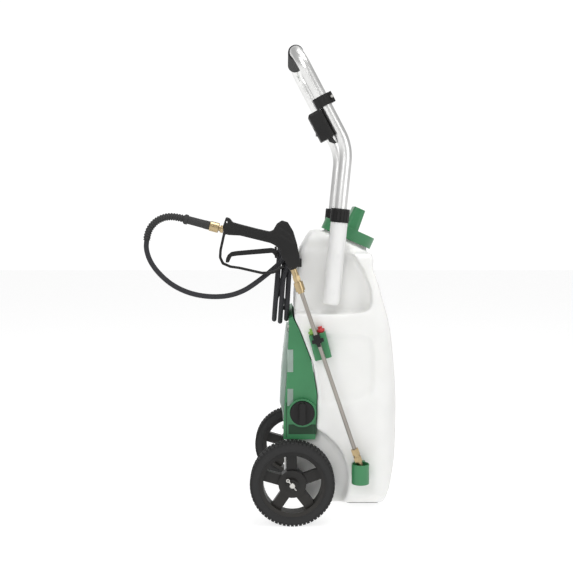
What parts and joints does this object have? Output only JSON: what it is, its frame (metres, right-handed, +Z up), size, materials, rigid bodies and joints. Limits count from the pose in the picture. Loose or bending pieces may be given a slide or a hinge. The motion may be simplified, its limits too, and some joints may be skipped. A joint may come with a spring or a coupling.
{
  "type": "pressure washer",
  "caption": "Wheeled pressure washer with its own white water tank, telescopic U handle, trigger gun, lance and coiled hose.",
  "frame": {"origin": "centre of the front foot's lower face, on the floor", "axes": "+Z up, +X towards the front of the tank, the handle's side is -X, the gun hangs on the -Y side"},
  "size_m": [0.5654, 0.4185, 1.0745],
  "materials": {
    "tank_plastic": "milky translucent blow-moulded polyethylene",
    "green_plastic": "satin moulded",
    "black_plastic": "fine moulded grain",
    "wheel_plastic": "moulded",
    "tyre_rubber": "moulded tread",
    "black_rubber": "matt",
    "hose_rubber": "smooth",
    "grip_foam": "foam",
    "aluminium": "brushed",
    "cast_alloy": "cast",
    "steel": "zinc plated",
    "stainless": "drawn",
    "brass": "machined",
    "clear_plastic": "frosted clear plastic",
    "grey_plastic": "satin",
    "lime_plastic": "moulded",
    "red_plastic": "moulded"
  },
  "bodies": {
    "chassis": {"tank": "tank_plastic", "tank_foot": "black_rubber", "axle": "steel", "axle_washers": "steel", "split_pins": "steel", "sleeve_left": "tank_plastic", "sleeve_right": "tank_plastic", "sleeve_screws": "tank_plastic", "pump_cover": "green_plastic", "cover_screws": "steel", "pump_head": "cast_alloy", "motor": "black_plastic", "battery": "black_plastic", "battery_cradle": "black_plastic", "controller": "green_plastic", "outlet_fitting": "brass", "suction_hose": "clear_plastic", "suction_filter": "black_plastic", "nozzle_holder": "green_plastic", "lance_clip": "black_plastic", "lance_cup": "green_plastic", "gun_body": "black_plastic", "trigger_pin": "black_plastic", "gun_inlet": "brass", "coupler": "brass", "lance_tube": "stainless", "lance_end": "brass", "gun_holder": "black_plastic", "hose_hook": "black_plastic", "hose_ferrule": "black_rubber", "bend_restrictor": "black_rubber", "hose_run": "hose_rubber", "hose_hank": "hose_rubber", "hose_tail": "hose_rubber"},
    "left_wheel": {"wheel_left": "wheel_plastic", "tyre_left": "tyre_rubber"},
    "right_wheel": {"wheel_right": "wheel_plastic", "tyre_right": "tyre_rubber"},
    "handle": {"handle_tube": "aluminium", "handle_grip": "grip_foam", "switch_clamp": "black_plastic", "clamp_screw": "steel", "switch_box": "black_plastic", "switch_gland": "black_rubber"},
    "rocker": {"switch_rocker": "grey_plastic"},
    "left_collar": {"collar_left": "black_plastic"},
    "right_collar": {"collar_right": "black_plastic"},
    "filler_cap": {"cap": "green_plastic", "cap_seal": "black_rubber"},
    "knob": {"control_knob": "black_plastic"},
    "door": {"battery_door": "clear_plastic"},
    "gun_trigger": {"trigger": "black_plastic"},
    "release_sleeve": {"coupler_sleeve": "brass"},
    "fan_nozzle": {"nozzle_fan": "lime_plastic"},
    "jet_nozzle": {"nozzle_jet": "red_plastic"},
    "rotor": {"motor_shaft": "steel"},
    "drain": {"drain_plug": "black_plastic"}
  },
  "joints": [
    {"name": "left_wheel_spin", "type": "hinge", "parent": "chassis", "child": "left_wheel", "pos_m": [-0.17, -0.18, 0.095], "axis": [0, 1, 0], "continuous": true},
    {"name": "right_wheel_spin", "type": "hinge", "parent": "chassis", "child": "right_wheel", "pos_m": [-0.17, 0.18, 0.095], "axis": [0, 1, 0], "continuous": true},
    {"name": "handle_slide", "type": "slide", "parent": "chassis", "child": "handle", "axis": [0.0976, 0, 0.9952], "range_m": [-0.085, 0]},
    {"name": "rocker_tilt", "type": "hinge", "parent": "handle", "child": "rocker", "pos_m": [-0.11883, -0.141, 0.88162], "axis": [0, 1, 0], "range_deg": [-12, 0]},
    {"name": "left_collar_turn", "type": "hinge", "parent": "chassis", "child": "left_collar", "pos_m": [-0.06547, -0.141, 0.676], "axis": [0.0976, 0, 0.9952], "range_deg": [0, 90]},
    {"name": "right_collar_turn", "type": "hinge", "parent": "chassis", "child": "right_collar", "pos_m": [-0.06547, 0.141, 0.676], "axis": [0.0976, 0, 0.9952], "range_deg": [-90, 0]},
    {"name": "cap_lift", "type": "slide", "parent": "chassis", "child": "filler_cap", "axis": [0.4067, 0, 0.9135], "range_m": [0, 0.09]},
    {"name": "knob_turn", "type": "hinge", "parent": "chassis", "child": "knob", "pos_m": [-0.1476, -0.16, 0.25], "axis": [0, 1, 0], "range_deg": [0, 180]},
    {"name": "door_swing", "type": "hinge", "parent": "chassis", "child": "door", "pos_m": [-0.192, 0, 0.217], "axis": [0, 1, 0], "range_deg": [-100, 0]},
    {"name": "trigger_pull", "type": "hinge", "parent": "chassis", "child": "gun_trigger", "pos_m": [-0.203, -0.19, 0.607], "axis": [0, 1, 0], "range_deg": [0, 14], "stiffness_Nm_per_rad": 0.6, "springref_deg": -20.05},
    {"name": "sleeve_release", "type": "slide", "parent": "chassis", "child": "release_sleeve", "axis": [-0.3211, 0, 0.947], "range_m": [0, 0.0035], "stiffness_N_per_m": 700, "springref_m": -0.004},
    {"name": "fan_nozzle_lift", "type": "slide", "parent": "chassis", "child": "fan_nozzle", "axis": [-0.2504, 0, 0.9681], "range_m": [0, 0.05]},
    {"name": "jet_nozzle_lift", "type": "slide", "parent": "chassis", "child": "jet_nozzle", "axis": [-0.2504, 0, 0.9681], "range_m": [0, 0.05]},
    {"name": "motor_spin", "type": "hinge", "parent": "chassis", "child": "rotor", "pos_m": [-0.149, -0.06, 0.25], "axis": [0, 1, 0], "continuous": true},
    {"name": "drain_turn", "type": "hinge", "parent": "chassis", "child": "drain", "pos_m": [0.0615, 0, 0.078], "axis": [1, 0, 0], "range_deg": [0, 90]}
  ]
}
